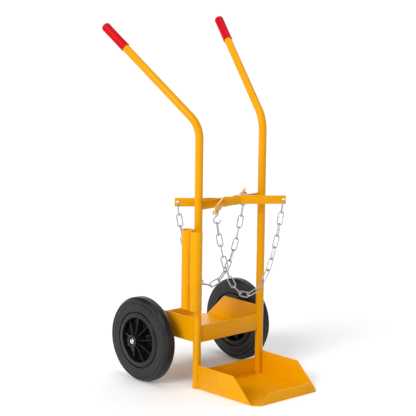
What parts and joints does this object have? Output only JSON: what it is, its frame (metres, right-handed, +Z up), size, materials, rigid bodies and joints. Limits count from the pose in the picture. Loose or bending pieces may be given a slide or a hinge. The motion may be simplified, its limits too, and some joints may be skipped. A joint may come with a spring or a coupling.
{
  "type": "gas cylinder trolley",
  "caption": "Two-wheeled welding cylinder trolley: splayed handles, trays back to back, V cradle rack, safety chains and filler-rod tubes.",
  "frame": {"origin": "on the ground midway between the two posts, in the plane of the posts, on the underside of the front tray", "axes": "+X to the right seen from the front tray's side, +Y rearwards towards the wheels and the operator, +Z up along the posts"},
  "size_m": [0.568, 0.6732, 1.2483],
  "materials": {
    "frame_paint": "semi-gloss powder coat",
    "grip_pvc": "glossy soft vinyl",
    "axle_steel": "bright turned",
    "zinc_steel": "zinc plated",
    "ring_steel": "phosphated spring steel",
    "bush_steel": "ground steel",
    "rim_plastic": "moulded, satin",
    "tyre_rubber": "solid rubber",
    "chain_zinc": "bright zinc plated"
  },
  "bodies": {
    "frame": {"left_post": "frame_paint", "right_post": "frame_paint", "cross_bar": "frame_paint", "front_cradle_bar": "frame_paint", "rear_cradle_bar": "frame_paint", "front_tray": "frame_paint", "rear_tray": "frame_paint", "front_rod_tube": "frame_paint", "rear_rod_tube": "frame_paint", "front_rod_tube_cap": "frame_paint", "rear_rod_tube_cap": "frame_paint", "left_axle_bracket": "frame_paint", "right_axle_bracket": "frame_paint", "left_grip": "grip_pvc", "right_grip": "grip_pvc", "axle": "axle_steel", "left_axle_spacer": "zinc_steel", "right_axle_spacer": "zinc_steel", "left_inner_washer": "zinc_steel", "right_inner_washer": "zinc_steel", "left_outer_washer": "zinc_steel", "right_outer_washer": "zinc_steel", "left_retaining_ring": "ring_steel", "right_retaining_ring": "ring_steel"},
    "left_wheel": {"left_tyre": "tyre_rubber", "left_rim": "rim_plastic", "left_hub_bush": "bush_steel"},
    "right_wheel": {"right_tyre": "tyre_rubber", "right_rim": "rim_plastic", "right_hub_bush": "bush_steel"},
    "front_chain": {"front_chain": "chain_zinc", "front_chain_hook": "chain_zinc"},
    "rear_chain": {"rear_chain": "chain_zinc", "rear_chain_hook": "chain_zinc"}
  },
  "joints": [
    {"name": "left_wheel_spin", "type": "hinge", "parent": "frame", "child": "left_wheel", "pos_m": [-0.229, 0.194, 0.15], "axis": [1, 0, 0], "continuous": true},
    {"name": "right_wheel_spin", "type": "hinge", "parent": "frame", "child": "right_wheel", "pos_m": [0.229, 0.194, 0.15], "axis": [1, 0, 0], "continuous": true},
    {"name": "front_chain_swing", "type": "hinge", "parent": "frame", "child": "front_chain", "pos_m": [0, -0.09664, 0.634], "axis": [-1, 0, 0], "range_deg": [-16, 16]},
    {"name": "rear_chain_swing", "type": "hinge", "parent": "frame", "child": "rear_chain", "pos_m": [0, 0.09664, 0.634], "axis": [1, 0, 0], "range_deg": [-16, 16]}
  ]
}
